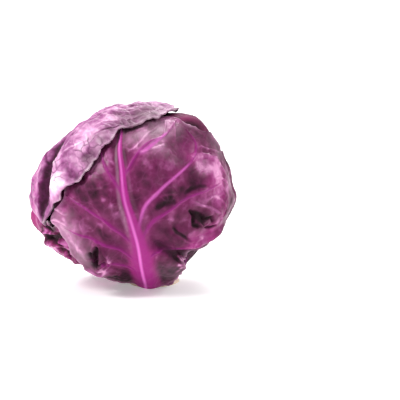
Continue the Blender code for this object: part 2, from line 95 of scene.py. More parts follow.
# The photograph's view: 400 by 400 pixels, with the middle of the head at this pixel.
IMAGE_PX = 400
HEAD_AT_PX = (133.0, 193.0)
CAMERA_DISTANCE = 1.2
CAMERA_ELEVATION = 10.0
LENS_MM, SENSOR_MM = 140.0, 36.0


def on_head(azimuth, elevation):
    """Unit vector from the head's centre: (sin a cos e, -cos a cos e, sin e)."""
    a, e = np.radians(azimuth), np.radians(elevation)
    return np.stack([np.sin(a) * np.cos(e), -np.cos(a) * np.cos(e), np.sin(e)], axis=-1)


def unit(v):
    return v / np.maximum(np.linalg.norm(v, axis=-1, keepdims=True), 1e-12)


STEM_WAY = unit(-CENTRE)


def bell(t):
    """(1 - t squared) squared inside |t| < 1, else 0."""
    return np.clip(1 - t * t, 0, None) ** 2


def smooth_step(t):
    """3 t squared - 2 t cubed between 0 and 1."""
    t = np.clip(t, 0, 1)
    return t * t * (3 - 2 * t)


def taper(along, steepness):
    """Fades a line in from its start and out towards its end."""
    return smooth_step(steepness * along) * smooth_step(steepness * (1 - along))


def angle_between(ways, way):
    return np.degrees(np.arccos(np.clip(ways @ way, -1, 1)))


def patches(ways, spots):
    """Sum of soft round patches, each (azimuth, elevation, spread in degrees, amount)."""
    total = np.zeros(len(ways))
    for azimuth, elevation, spread, amount in spots:
        total = total + amount * bell(angle_between(ways, on_head(azimuth, elevation)) / spread)
    return total


def ball(ways):
    """Radius of an ellipsoid along each way, plus Gaussian swellings."""
    radius = 1 / np.sqrt(((ways / (HEAD_SIZE / 2)) ** 2).sum(axis=-1))
    for azimuth, elevation, spread, height in HEAD_SWELLINGS:
        away = angle_between(ways, on_head(azimuth, elevation)) / spread
        radius = radius + height * np.exp(-(away**2))
    return radius


def rounded(points, steps, closed=False):
    """Catmull-Rom curve through points, with the same number of steps on each stretch."""
    points = np.asarray(points, float)
    if closed:
        before, after = points[-1:], points[:2]
    else:
        before, after = 2 * points[:1] - points[1:2], 2 * points[-1:] - points[-2:-1]
    p = np.concatenate([before, points, after])
    t = np.linspace(0, 1, steps, endpoint=False)[:, None]
    curve = []
    for i in range(len(points) if closed else len(points) - 1):
        a, b, c, d = p[i : i + 4]
        cubic = 3 * b - a - 3 * c + d
        square = 2 * a - 5 * b + 4 * c - d
        curve.append(b + 0.5 * ((c - a) * t + square * t**2 + cubic * t**3))
    if not closed:
        curve.append(points[-1:])
    return np.concatenate(curve)


def spaced(line, step):
    """The same line with its points about one step apart."""
    along = np.concatenate([[0], np.cumsum(np.linalg.norm(np.diff(line, axis=0), axis=1))])
    at = np.linspace(0, along[-1], max(2, round(along[-1] / step) + 1))
    return np.stack([np.interp(at, along, line[:, i]) for i in range(2)], axis=1)


def nearest(places, line):
    """Distance of each place from a line, the share of it passed there, and the side: 1 left, -1 right."""
    best, share = np.full(len(places), np.inf), np.zeros(len(places))
    side = np.ones(len(places))
    for i, (a, b) in enumerate(zip(line[:-1], line[1:])):
        run = b - a
        off = places - a
        t = np.clip(off @ run / (run @ run), 0, 1)
        distance = np.hypot(off[:, 0] - t * run[0], off[:, 1] - t * run[1])
        closer = distance < best
        best = np.where(closer, distance, best)
        share = np.where(closer, (i + t) / (len(line) - 1), share)
        side = np.where(closer, np.sign(run[0] * off[:, 1] - run[1] * off[:, 0]), side)
    return best, share, side


def ridge(places, line, size):
    """A raised rib: its height times a bell of the distance from the line over its half width."""
    wide, narrow, high, low = size
    distance, share, _ = nearest(places, line)
    return (high + (low - high) * share) * bell(distance / (wide + (narrow - wide) * share))


def cloud(u, v, size_mm, seed):
    """Smooth random heights between -1 and 1: a lattice of random values, blended across its squares by
    smooth steps, plus half as much at half the size."""
    total = 0
    for octave in (0, 1):
        table = np.random.default_rng(seed + 77 * octave).uniform(-1, 1, (97, 97))
        x, y = u / size_mm * (octave + 1) + 41.3, v / size_mm * (octave + 1) + 37.9
        i, j = np.floor(x).astype(int), np.floor(y).astype(int)
        fx, fy = smooth_step(x - i), smooth_step(y - j)
        a, b = table[i % 97, j % 97], table[(i + 1) % 97, j % 97]
        c, d = table[i % 97, (j + 1) % 97], table[(i + 1) % 97, (j + 1) % 97]
        total = total + ((a + (b - a) * fx) * (1 - fy) + (c + (d - c) * fx) * fy) / (octave + 1)
    return total / 1.5


def net(u, v, cell_mm, seed):
    """Distance in mm from the nearest border between the cells of scattered points, one to each lattice
    square: half the difference of the squared distances to the two nearest points, over their distance."""
    scatter = np.random.default_rng(seed).uniform(0.08, 0.92, (89, 89, 2))
    x, y = u / cell_mm + 40.5, v / cell_mm + 40.5
    i, j = np.floor(x).astype(int), np.floor(y).astype(int)
    first, second = np.full(x.shape, np.inf), np.full(x.shape, np.inf)
    first_at, second_at = np.zeros((*x.shape, 2)), np.zeros((*x.shape, 2))
    for di in (-1, 0, 1):
        for dj in (-1, 0, 1):
            at = np.stack([i + di, j + dj], axis=-1) + scatter[(i + di) % 89, (j + dj) % 89]
            far = (at[..., 0] - x) ** 2 + (at[..., 1] - y) ** 2
            nearer, next_one = far < first, (far >= first) & (far < second)
            second = np.where(nearer, first, np.where(next_one, far, second))
            second_at = np.where(nearer[..., None], first_at, np.where(next_one[..., None], at, second_at))
            first = np.where(nearer, far, first)
            first_at = np.where(nearer[..., None], at, first_at)
    between = np.linalg.norm(second_at - first_at, axis=-1)
    return (second - first) / (2 * np.maximum(between, 1e-6)) * cell_mm


class Leaf:
    """One leaf of the head. outline, rib, veins, pairs, folds, swells, flares, rough, puff, crumple, wave
    and phase give the shape that the built leaf has. The rest is finer.

    pits: (azimuth, elevation, long and short half width in mm, tilt in degrees, depth). wrinkles:
    (places, half width, height), hollow below 0. stripes: (places, half width) of broad veins. net_mm:
    size of the cells between the fine veins. net_high: how far those veins stand out, or lie in below 0.
    blister: how far the blade is puffed up between them. ragged: size of the edge's small teeth. tone:
    paler, or darker below 0. tints: (azimuth, elevation, spread, amount), the same for a patch; these
    patches paint shade into hollows, under folds and below veins and highlights onto lit bulges and
    lobes, besides the leaf's own paler and darker colour. waxes and flushes: such patches of grey wax and
    of magenta. threads: (azimuth, elevation, spread) where the fine veins are paler than the blade. grid:
    squares along each side of the mesh, a multiple of 3.
    """

    veins = pairs = folds = swells = flares = rough = ()
    puff, crumple, wave, phase, rib_size = 0.0010, 0.0005, (0.9, 17), 0.0, RIB_SIZE
    pits = wrinkles = stripes = tints_and_painted_light = waxes = flushes = threads = ()
    net_mm, net_high, blister, vein_scale = 10.0, 0.00022, 0.0, 1.0
    ragged, tone, grid = 0.0006, 0.0, 180

    def __init__(self, name, material, middle, outline, rib, **settings):
        self.name, self.material = name, material
        for key, value in settings.items():
            setattr(self, key, value)
        self.middle = on_head(*middle)
        azimuth = math.radians(middle[0])
        self.right = np.array([math.cos(azimuth), math.sin(azimuth), 0.0])
        self.up = np.cross(self.middle, self.right)
        self.reach = self.edge_distances(outline)
        self.rim = self.edge_line(EDGE_STEP)
        self.rib = self.line(rib)
        self.veins = [self.line(places) for places in self.veins]
        self.veins = self.veins + [self.pinnate(*pair) for pair in self.pairs]
        self.folds, self.wrinkles, self.stripes = (
            [(self.line(places), *rest) for places, *rest in group]
            for group in (self.folds, self.wrinkles, self.stripes)
        )
        self.maps = {}

    def flat(self, ways):
        """Azimuthal equidistant map: the angle from the leaf's middle times the mean radius."""
        across, up = ways @ self.right, ways @ self.up
        length = np.hypot(across, up)
        scale = MEAN_RADIUS * np.arctan2(length, ways @ self.middle) / np.maximum(length, 1e-9)
        return np.stack([across * scale, up * scale], axis=-1)

    def ways(self, places):
        """The way from the head's centre to each place of the flat map, the reverse of flat."""
        length = np.linalg.norm(places, axis=-1, keepdims=True)
        sideways = places / np.maximum(length, 1e-12)
        tangent = sideways[..., :1] * self.right + sideways[..., 1:] * self.up
        return np.cos(length / MEAN_RADIUS) * self.middle + np.sin(length / MEAN_RADIUS) * tangent

    def line(self, places):
        return spaced(rounded(self.flat(on_head(*np.transpose(places))), 8), 0.004)

    def pinnate(self, start, length, sweep, side):
        """A side vein by rule: it leaves the midrib at a share of the midrib's length, at sweep degrees to
        that side (1 is right), and bends towards the tip."""
        at = min(int(start * len(self.rib)), len(self.rib) - 3)
        ahead = self.rib[at + 2] - self.rib[at]
        heading = math.atan2(ahead[1], ahead[0]) - side * math.radians(sweep)
        points = [self.rib[at]]
        for n in range(4):
            turn = heading + side * math.radians(sweep) * 0.14 * (n - 1)
            points.append(points[-1] + length / 4 * np.array([math.cos(turn), math.sin(turn)]))
        return spaced(rounded(points, 8), 0.004)

    def edge_distances(self, outline):
        """How far the edge is from the middle at each degree round it: a closed curve through the
        outline's places, plus two sine waves, stopped short of the stem."""
        places = self.flat(on_head(*np.transpose(outline)))
        places = places[np.argsort(np.arctan2(places[:, 1], places[:, 0]))]
        curve = rounded(places, 12, closed=True)
        turn = np.degrees(np.arctan2(curve[:, 1], curve[:, 0]))
        order = np.argsort(turn)
        degrees = np.arange(-180, 180)
        reach = np.interp(degrees, turn[order], np.linalg.norm(curve, axis=1)[order], period=360)
        amount, count = self.wave
        long_wave = np.sin(np.radians(degrees * count) + self.phase)
        short_wave = np.sin(np.radians(degrees * (count * 2 - 5)) + 2 * self.phase)
        reach = reach + math.radians(amount) * MEAN_RADIUS * (long_wave + 0.6 * short_wave)
        shares = np.linspace(0, 1, 120)
        rays = np.stack([np.cos(np.radians(degrees)), np.sin(np.radians(degrees))], axis=-1)
        tried = rays[:, None] * (reach[:, None] * shares)[..., None]
        blocked = angle_between(self.ways(tried), STEM_WAY) < STEM_CLEARANCE
        last = np.where(blocked.any(axis=1), blocked.argmax(axis=1) - 1, len(shares) - 1)
        return reach * shares[last]

    def edge_at(self, turn):
        return np.interp(turn, np.arange(-180, 180), self.reach, period=360)

    def edge_line(self, step):
        turn = np.arange(-180, 180.25, 0.5)
        rays = np.stack([np.cos(np.radians(turn)), np.sin(np.radians(turn))], axis=1)
        return spaced(rays * self.edge_at(turn)[:, None], step)

    def inset(self, places):
        """Distance from the edge, below 0 outside it."""
        turn = np.degrees(np.arctan2(places[:, 1], places[:, 0]))
        inside = self.edge_at(turn) > np.linalg.norm(places, axis=1)
        return nearest(places, self.rim)[0] * np.where(inside, 1, -1)

    def lift(self, ways, places, inset):
        """How far the blade stands off the leaves beneath it: an arch between its edges, two crossed sine
        waves, folds and swells shaped as bells, and flares that fade away from the edge."""
        u, v = places[:, 0] * 1000, places[:, 1] * 1000
        bend = 5 * np.sin(v / 17 + self.phase) + 4 * np.sin(u / 23 - 2 * self.phase)
        waves = np.sin((u + bend) / 6.1 + self.phase) * np.sin((v - bend) / 7.3 + 1.7 * self.phase)
        amount = self.crumple + patches(ways, self.rough)
        lift = self.puff * smooth_step(inset / 0.014) + amount * (1 + waves)
        for line, width, height in self.folds:
            distance, share, _ = nearest(places, line)
            lift = lift + height * bell(distance / width) * taper(share, 4)
        lift = lift + patches(ways, self.swells)
        lift = lift + patches(ways, self.flares) * np.exp(-np.clip(inset, 0, None) / 0.006)
        off_stem = smooth_step((angle_between(ways, STEM_WAY) - STEM_CLEARANCE) / 22)
        return np.maximum(lift, 0) * off_stem

    def cover(self, ways, places, inset):
        """What this leaf adds to the radius of whatever lies on it, fading out past its edge."""
        there = smooth_step(1 + (inset + DRAPE_START) / DRAPE_WIDTH)
        wide, narrow, high, low = self.rib_size
        over_rib = ridge(places, self.rib, (1.5 * wide, 1.5 * narrow, 1.15 * high, 1.15 * low))
        return there * (GAP + BLADE + self.lift(ways, places, inset) + over_rib + VEIN_SIZE[2])

    def room(self, ways, places, inset):
        """About how much radius this leaf needs, which the inner head leaves free."""
        wide, narrow, high, low = self.rib_size
        for_rib = ridge(places, self.rib, (3 * wide, 3 * narrow, 0.7 * high, 0.7 * low))
        thick = GAP + BLADE + self.puff + self.crumple + VEIN_SIZE[2] + for_rib
        return smooth_step((inset + 0.018) / 0.040) * thick

    def sampled(self, what, ways):
        """cover or room along any ways, read from a square map of it by a bilinear blend."""
        reach = self.reach.max() + 0.024
        count = int(2 * reach / MAP_STEP)
        if what not in self.maps:
            axis = np.linspace(-reach, reach, count)
            grid = np.stack(np.meshgrid(axis, axis, indexing="ij"), axis=-1).reshape(-1, 2)
            grid_ways = self.ways(grid)
            inset = self.inset(grid)
            self.maps["cover"] = self.cover(grid_ways, grid, inset).reshape(count, count)
            self.maps["room"] = self.room(grid_ways, grid, inset).reshape(count, count)
        chart = self.maps[what]
        spot = np.clip((self.flat(ways) + reach) / (2 * reach) * (count - 1), 0, count - 1.001)
        i, j = spot[:, 0].astype(int), spot[:, 1].astype(int)
        fx, fy = spot[:, 0] - i, spot[:, 1] - j
        low = chart[i, j] * (1 - fx) + chart[i + 1, j] * fx
        high = chart[i, j + 1] * (1 - fx) + chart[i + 1, j + 1] * fx
        return low * (1 - fy) + high * fy

    def midrib(self, places):
        """The midrib's height, the masks of its body, of the painted highlight along its crest and of its
        grey flanks, and the magenta that spreads from its foot."""
        distance, share, side = nearest(places, self.rib)
        half = self.rib_size[0] + (self.rib_size[1] - self.rib_size[0]) * share
        upper = smooth_step((share - 0.25) / 0.35)
        body = smooth_step(1.9 * (1 - distance / (0.86 * half - 0.40 * half * upper)))
        # a narrow painted highlight along the rib, a little to one side of its top
        crest_highlight = bell((distance * side - 0.10 * half) / (0.0008 + 0.10 * half)) * (1 - 0.45 * upper)
        flanks = upper * bell((distance / half - 0.60) / 0.30) * np.where(side > 0, 1, 0.3)
        foot = 1.3 * smooth_step(1.9 - distance / (0.62 * half)) * (1 - smooth_step((share - 0.10) / 0.35))
        return ridge(places, self.rib, self.rib_size), body, crest_highlight * body, flanks, foot

    def side_veins(self, places):
        """The side veins' height, the mask of their colour, the magenta glow beside them, and the painted
        highlight along the broad ones."""
        height, mask, glow, shine = np.zeros((4, len(places)))
        for line in self.veins:
            distance, share, _ = nearest(places, line)
            half = VEIN_SIZE[0] + (VEIN_SIZE[1] - VEIN_SIZE[0]) * share
            peak = VEIN_SIZE[2] + (VEIN_SIZE[3] - VEIN_SIZE[2]) * share
            height = np.maximum(height, peak * bell(distance / half) * self.vein_scale)
            mask = np.maximum(mask, bell(distance / (1.25 * half)) * smooth_step(5 * (1 - share)))
            glow = np.maximum(glow, np.exp(-((distance / 0.0045) ** 2)) * (1 - 0.7 * share))
        for line, width in self.stripes:
            distance, share, _ = nearest(places, line)
            ends = smooth_step(6 * (1 - share)) * smooth_step(4 * share)
            band = bell(distance / (width * (1 - 0.5 * share))) * ends
            mask, shine = np.maximum(mask, band), np.maximum(shine, band)
        return height, mask, glow, shine

    def hollows(self, places):
        """The relief of pits and wrinkles, and how hollow each place is: 1 at the bottom of a pit, a
        wrinkle or a fold, 0 in the open and below 0 on a ridge."""
        relief, hollow = np.zeros((2, len(places)))
        for azimuth, elevation, long_mm, short_mm, tilt, depth in self.pits:
            across, up = (places - self.flat(on_head(azimuth, elevation)[None])).T * 1000
            c, s = math.cos(math.radians(tilt)), math.sin(math.radians(tilt))
            away = np.hypot((across * c + up * s) / long_mm, (up * c - across * s) / short_mm)
            relief = relief - depth * bell(away * 0.8) + 0.25 * depth * bell((away - 1.35) / 0.5)
            hollow = hollow + bell(away * 0.85)
        for line, width, height in self.wrinkles:
            distance, share, _ = nearest(places, line)
            fold = bell(distance / width) * taper(share, 5)
            relief = relief + height * fold
            hollow = hollow + (min(1.0, -height / FULL_HOLLOW) if height < 0 else -0.25) * fold
        for line, width, height in self.folds:
            if height < 0:
                distance, share, _ = nearest(places, line)
                hollow = hollow + 0.9 * bell(distance / (0.85 * width)) * taper(share, 4)
        return relief, hollow


PURPLE, FRONT, CROWN, MAGENTA = "purple_leaf", "front_leaf", "lilac_leaf", "magenta_leaf"

LEAVES = (
    Leaf(
        "leaf_inner_back", PURPLE, middle=(178, 8),
        outline=(
            (178, 88), (140, 62), (126, 30), (124, 0), (126, -30), (140, -58), (178, -72), (-140, -62),
            (-122, -34), (-118, 0), (-118, 30), (-138, 62),
        ),
        rib=((178, -74), (178, -40), (176, 0), (178, 40), (179, 72)),
        pairs=((0.25, 0.062, 58, 1), (0.25, 0.062, 58, -1), (0.5, 0.055, 50, 1), (0.5, 0.055, 50, -1)),
        phase=0.7, grid=150,
    ),
    Leaf(
        "leaf_inner_right", MAGENTA, middle=(100, 8),
        outline=(
            (100, 84), (50, 72), (22, 46), (20, 5), (35, -30), (62, -58), (110, -70), (150, -52),
            (168, -25), (172, 10), (165, 42), (140, 70),
        ),
        rib=((88, -74), (90, -40), (94, 0), (95, 40), (96, 66)),
        pairs=(
            (0.22, 0.062, 60, 1), (0.22, 0.062, 60, -1), (0.45, 0.058, 52, 1), (0.45, 0.058, 52, -1),
            (0.68, 0.036, 44, 1), (0.68, 0.036, 44, -1),
        ),
        swells=((82, 50, 26, 0.0050),),
        tints_and_painted_light=((84, 50, 40, -0.65),),
        flushes=((68, 56, 9, 0.5), (84, 46, 14, 0.4)),
        phase=2.1, grid=210,
    ),
    Leaf(
        "leaf_inner_left", PURPLE, middle=(-88, 4),
        outline=(
            (-88, 74), (-45, 60), (-18, 30), (-15, -5), (-28, -38), (-60, -64), (-105, -72), (-140, -55),
            (-158, -25), (-162, 10), (-150, 45), (-125, 66),
        ),
        rib=((-96, -76), (-92, -40), (-88, 0), (-90, 36), (-92, 60)),
        pairs=((0.22, 0.060, 60, 1), (0.22, 0.060, 60, -1), (0.48, 0.052, 52, 1), (0.48, 0.052, 52, -1)),
        phase=3.3, grid=150,
    ),
    Leaf(
        "leaf_back", PURPLE, middle=(158, -4),
        outline=(
            (164, 62), (138, 52), (122, 30), (117, 2), (118, -28), (128, -55), (155, -74), (-172, -66),
            (-148, -44), (-138, -15), (-140, 15), (-156, 44),
        ),
        rib=((148, -76), (152, -45), (156, -8), (160, 25), (160, 50)),
        pairs=(
            (0.16, 0.060, 64, 1), (0.18, 0.060, 64, -1), (0.36, 0.060, 56, 1), (0.40, 0.058, 56, -1),
            (0.58, 0.045, 48, 1), (0.62, 0.042, 48, -1),
        ),
        flares=((118, -20, 26, 0.0016), (-140, -30, 26, 0.0025), (140, 58, 24, 0.0018)),
        wave=(1.2, 15), phase=5.0, grid=240,
    ),
    Leaf(
        "leaf_low_right", PURPLE, middle=(76, -38),
        outline=(
            (88, -8), (66, -8), (44, -16), (24, -30), (26, -52), (50, -70), (84, -74), (118, -66),
            (130, -42), (122, -20), (106, -10),
        ),
        rib=((62, -76), (70, -62), (78, -38), (84, -16)),
        rib_size=(0.0085, 0.0024, 0.0034, 0.0010),
        pairs=((0.3, 0.034, 58, 1), (0.3, 0.036, 58, -1), (0.6, 0.024, 50, 1), (0.6, 0.024, 50, -1)),
        flares=((44, -54, 20, 0.0044), (118, -25, 22, 0.0020)),
        # tone and tints darken this leaf: painted shade in the cavity under the front leaf's turned-up
        # edge
        wave=(1.5, 13), phase=1.2, tone=-0.2,
        tints_and_painted_light=((42, -34, 16, -0.50), (54, -46, 14, -0.35)),
    ),
    Leaf(
        "leaf_low_left", MAGENTA, middle=(-86, -38),
        outline=(
            (-102, 5), (-93, 4), (-84, -1), (-76, -6), (-68, -10), (-60, -13), (-53, -14), (-46, -11),
            (-38, -14), (-32, -28), (-24, -42), (-18, -56), (-34, -70), (-88, -80), (-134, -70),
            (-146, -48), (-136, -22), (-116, -2),
        ),
        rib=((-66, -78), (-76, -62), (-88, -42), (-94, -18)),
        rib_size=(0.0085, 0.0024, 0.0034, 0.0010),
        pairs=((0.3, 0.040, 60, 1), (0.3, 0.040, 60, -1), (0.6, 0.024, 50, 1), (0.6, 0.024, 50, -1)),
        folds=(
            # ruffles one below the other, with hollows between them
            (((-76, -24), (-60, -23), (-50, -20), (-41, -22)), 0.0050, -0.0042),
            (((-92, -28), (-72, -28), (-57, -26), (-48, -26), (-38, -32)), 0.0056, 0.0030),
            (((-66, -33), (-58, -31), (-50, -30)), 0.0050, -0.0036),
            (((-60, -40), (-55, -36), (-50, -30)), 0.0040, -0.0030),
            (((-60, -46), (-50, -40), (-42, -38)), 0.0050, 0.0022),
        ),
        swells=((-82, -32, 30, 0.0036), (-88, -13, 16, 0.0082)),
        flares=((-58, -16, 16, 0.0020), (-92, -4, 16, 0.0010)),
        wave=(1.0, 15), phase=4.1, grid=240,
        # painted shade in the hollows between the ruffles and over the lower part, painted highlights on
        # the lobes between them
        tints_and_painted_light=(
            (-88, -8, 9, 0.20), (-56, -14, 8, -0.50), (-62, -24, 8, -0.30), (-74, -24, 8, -0.30),
            (-64, -29, 6, 0.30), (-74, -31, 7, 0.30), (-55, -35, 5, 0.25), (-50, -50, 16, -0.40),
            (-76, -44, 14, -0.24),
        ),
        flushes=((-86, -14, 14, 0.8), (-60, -28, 12, 0.3), (-60, -42, 16, 0.5), (-44, -50, 14, 0.3)),
        wrinkles=(
            (((-74, -16), (-64, -17), (-54, -17)), 0.0020, -0.0024),
            (((-84, -22), (-70, -20.5), (-60, -20), (-50, -19)), 0.0015, 0.0018),
            (((-80, -25), (-68, -24), (-58, -24), (-46, -26)), 0.0024, -0.0026),
            (((-76, -34), (-62, -26), (-52, -24), (-42, -26)), 0.0016, 0.0014),
            (((-66, -40), (-54, -34), (-44, -33)), 0.0016, 0.0012),
        ),
    ),
    Leaf(
        "leaf_front", FRONT, middle=(15, -4),
        outline=(
            (-12, 70), (-40, 52), (-46, 30), (-43, 14), (-42, 4), (-45, 0), (-49, -3), (-49, -9),
            (-45, -13), (-42, -19), (-40, -24), (-38, -29), (-36, -36), (-33, -42), (-29, -50),
            (-28, -60), (-18, -74), (30, -84), (64, -74), (57, -60), (51, -50), (46, -43), (41, -37),
            (36, -31), (42, -29), (52, -28), (70, -26), (88, -22), (100, -12), (104, 4), (99, 18),
            (88, 28), (76, 36), (66, 42), (56, 49), (54, 56), (50, 62), (20, 70),
        ),
        rib=(
            (28, -71), (18, -60), (10, -42), (6, -22), (2, -7), (-2, 7), (-4, 22), (-7, 37), (-9, 52),
            (-11, 62),
        ),
        rib_size=(0.0150, 0.0030, 0.0034, 0.0014),
        veins=(
            ((5, -14), (9, 1), (17, 10), (29, 18), (43, 26), (51, 34), (52, 46)),
            ((6, -22), (14, -7), (25, 0), (35, 5), (48, 8), (62, 10)),
            ((-3, 20), (6, 34), (15, 40), (26, 43), (37, 48), (50, 54)),
            ((9, -36), (20, -26), (30, -24), (42, -24)),
            ((0, -20), (-11, -9), (-20, -3), (-30, 2), (-40, 6)),
            ((4, -36), (-8, -25), (-20, -19), (-30, -15), (-42, -12)),
            ((-3, 8), (-9, 17), (-16, 26), (-24, 38)),
            ((8, -50), (-6, -40), (-18, -34), (-30, -30)),
        ),
        puff=0.0022,
        rough=((72, -6, 36, 0.0008), (60, 34, 26, 0.0004)),
        folds=(
            (((20, -8), (26, -15), (33, -20), (42, -22), (52, -21), (64, -18), (76, -14)),
             0.0060, 0.0036),
            (((14, -20), (24, -25), (36, -28), (50, -27)), 0.0060, -0.0034),
            (((-25, -24), (-24, -31), (-24, -38)), 0.0060, -0.0040),
            (((37, -2), (42, -6), (47, -10)), 0.0046, -0.0016),
        ),
        swells=(
            (54, 12, 25, 0.0030), (30, 32, 15, 0.0012), (-24, 12, 13, 0.0010), (-34, -14, 14, 0.0012),
            (42, -19, 30, 0.0016), (-26, -34, 20, 0.0036), (20, 4, 13, 0.0010),
        ),
        flares=(
            (-50, -6, 12, 0.0018), (-42, -26, 16, 0.0022), (-20, -50, 14, 0.0008), (40, -38, 13, 0.0042),
            (72, -26, 16, 0.0010), (78, 40, 18, 0.0008),
        ),
        wave=(0.7, 19), phase=0.4, grid=285, net_mm=9.0, net_high=0.00016,
        pits=(
            (-21, -28, 8.0, 2.4, 98, 0.0056),
            (-20, -33, 4.6, 2.6, 20, 0.0050),
            (66, -7, 2.6, 1.5, 70, 0.0020),
        ),
        wrinkles=(
            (((53, 34), (60, 31), (68, 29), (78, 26)), 0.0012, 0.0007),
            (((-3, 34), (4, 38), (12, 44), (22, 50), (34, 56)), 0.0016, 0.0006),
            (((6, 34), (14, 35), (20, 36), (28, 38)), 0.0016, 0.0009),
            (((-36, -36), (-31, -41), (-23, -42), (-15, -38)), 0.0026, 0.0022),
            (((-19, -24), (-18, -30), (-19, -36)), 0.0018, 0.0012),
            (((38, 24), (46, 28), (56, 27), (66, 22), (76, 12)), 0.0036, 0.0012),
            # a crease over the curled margin, with its two lips, which are raised and painted pale as
            # highlights
            (((26, -8), (26, -12), (31, -15), (37, -19), (45, -19)), 0.0018, -0.0008),
            (((27, -14), (34, -18), (42, -19), (50, -18)), 0.0018, 0.0012),
            (((34, -20), (40, -23), (47, -22)), 0.0016, 0.0012),
            # crooked cracks in the mouth of that margin, between crumpled ridges
            (((35, -1), (39, -5), (38, -10), (44, -12)), 0.0022, -0.0026),
            (((42, -3), (46, -8), (51, -7), (55, -12)), 0.0020, -0.0024),
            (((47, -12), (52, -14), (59, -13)), 0.0016, -0.0020),
            (((38, 3), (44, 0), (51, -2), (57, -7)), 0.0016, 0.0014),
            (((41, -7), (45, -12), (51, -11)), 0.0014, 0.0012),
            (((52, -3), (58, -6), (64, -12)), 0.0016, 0.0014),
            # shallow creases above it
            (((14, 0), (19, 3), (24, 4), (29, 3)), 0.0028, -0.0009),
            (((33, 7), (38, 10), (44, 11), (50, 10)), 0.0024, -0.0009),
            (((16, 7), (22, 8), (29, 8)), 0.0014, 0.0006),
            # the slot and the hooked lip low on the left
            (((-20, -21), (-20, -27), (-22, -32), (-26, -36)), 0.0019, -0.0030),
            (((-17, -24), (-14, -30), (-14, -36), (-20, -38), (-27, -37)), 0.0016, 0.0020),
            # the turned-up edge at the lower right
            (((28, -29), (33, -32), (38, -36)), 0.0022, -0.0026),
            (((31, -27), (37, -31), (42, -36)), 0.0013, 0.0016),
            # puckers along the left margin
            (((-50, -1), (-44, -4), (-37, -5)), 0.0014, 0.0010),
            (((-50, -8), (-44, -9), (-37, -11)), 0.0014, 0.0010),
            # low ridges over the right half
            (((52, 30), (60, 26), (70, 24)), 0.0012, 0.0008),
            (((56, 14), (64, 13), (72, 8)), 0.0013, 0.0008),
            (((36, 40), (42, 48), (48, 55)), 0.0014, 0.0007),
            (((28, 44), (36, 52), (42, 58)), 0.0014, 0.0007),
            (((46, 2), (54, 4), (62, -1), (64, -8)), 0.0018, 0.0009),
        ),
        stripes=(
            (((5, 33), (13, 36), (20, 40), (28, 44), (35, 48)), 0.0034),
            (((5, -14), (9, 1), (17, 10), (29, 18), (43, 26)), 0.0024),
        ),
        tone=-0.09,
        # painted shade in hollows, under the curled margin and folds and below the veins, painted
        # highlights on the lit bulge at the right, on lips and on puckers, and paler and darker patches of
        # the leaf's own colour
        tints_and_painted_light=(
            (49, 22, 8, 0.56), (60, 19, 9, 0.56), (60, 12, 13, 0.30), (76, 10, 16, 0.20),
            (70, 36, 16, 0.10), (-46, -4, 12, 0.36), (-38, -12, 12, 0.18), (-36, -26, 14, 0.20),
            (-30, -41, 6, 0.22), (-22, -43, 6, 0.24), (-16, -38, 5, 0.14), (-12, -52, 16, -0.30),
            (-2, -62, 18, -0.18), (12, 48, 18, 0.26), (38, 54, 12, 0.34), (10, 35, 4, 0.24),
            (19, 37, 4, 0.26), (27, 40, 4, 0.22), (-22, 6, 14, -0.18), (17, 3, 5, -0.32),
            (24, 3, 5, -0.36), (34, 8, 6, -0.22), (42, 11, 6, -0.34), (-20, 27, 9, 0.24),
            (28, 11, 4, 0.12), (34, -50, 20, -0.30), (40, -42, 9, -0.20), (30, -26, 12, -0.36),
            (18, -24, 9, -0.24), (44, -28, 9, -0.30), (45, -8, 7, -0.24), (57, 2, 7, 0.24),
            (60, -14, 10, 0.16), (40, 38, 14, -0.10), (34, -20, 7, 0.10), (46, -22, 9, 0.20),
            (-14, -20, 14, -0.14), (20, 12, 12, -0.14), (24, 22, 12, -0.10), (-14, -33, 4, 0.18),
            (-20, -38, 4, 0.16), (0, -36, 13, -0.18), (6, -60, 22, -0.20), (-10, -24, 12, -0.16),
            (33, -30, 2.6, 0.8), (36, -32, 2.6, 0.9), (36, -36, 2.6, 0.8), (39, -39, 2.6, 0.9),
            (39, -43, 2.6, 0.7), (-34, -16, 14, 0.14), (-18, 14, 4, 0.26), (-15, 6, 3, 0.26),
            (-25, 18, 4, 0.20),
        ),
        waxes=(
            (14, 50, 20, 0.60), (36, 52, 14, 0.50), (-34, -28, 17, 0.55), (-42, -12, 16, 0.55),
            (80, 30, 16, 0.25), (-21, 27, 9, 0.30), (30, -46, 16, 0.25), (20, 36, 9, 0.30),
        ),
        flushes=(
            (40, -21, 10, 0.9), (54, -19, 10, 0.7), (62, -6, 14, 0.4), (60, 14, 22, 0.45),
            (10, -26, 20, 0.25), (-44, 0, 12, 0.35), (44, 32, 12, 0.40), (22, 30, 14, 0.10),
        ),
    ),
    Leaf(
        "leaf_crown", CROWN, middle=(-118, 34),
        outline=(
            (-4, 53), (-11, 50), (-13, 45), (-15, 39), (-20, 33), (-22, 28), (-25, 22), (-30, 17),
            (-33, 13), (-38, 11), (-41, 7), (-43, 3), (-47, -1), (-50, -6), (-55, -11), (-62, -14),
            (-70, -11), (-78, -7), (-88, -1), (-100, 0), (-113, -16), (-122, -42), (-132, -62),
            (-160, -66), (-168, -48), (-174, -26), (180, -5), (170, 20), (158, 42), (130, 58), (96, 62),
            (64, 62), (34, 59), (18, 56), (6, 54),
        ),
        rib=((-146, -76), (-144, -50), (-136, -15), (-126, 20), (-114, 55), (-80, 78)),
        pairs=(
            (0.18, 0.050, 60, 1), (0.18, 0.056, 60, -1), (0.36, 0.066, 54, 1), (0.36, 0.060, 54, -1),
            (0.56, 0.068, 48, 1), (0.56, 0.056, 48, -1), (0.76, 0.045, 42, 1), (0.76, 0.040, 42, -1),
        ),
        folds=(
            (((-84, 42), (-74, 33), (-65, 22), (-60, 11), (-58, 0), (-58, -10), (-59, -20)),
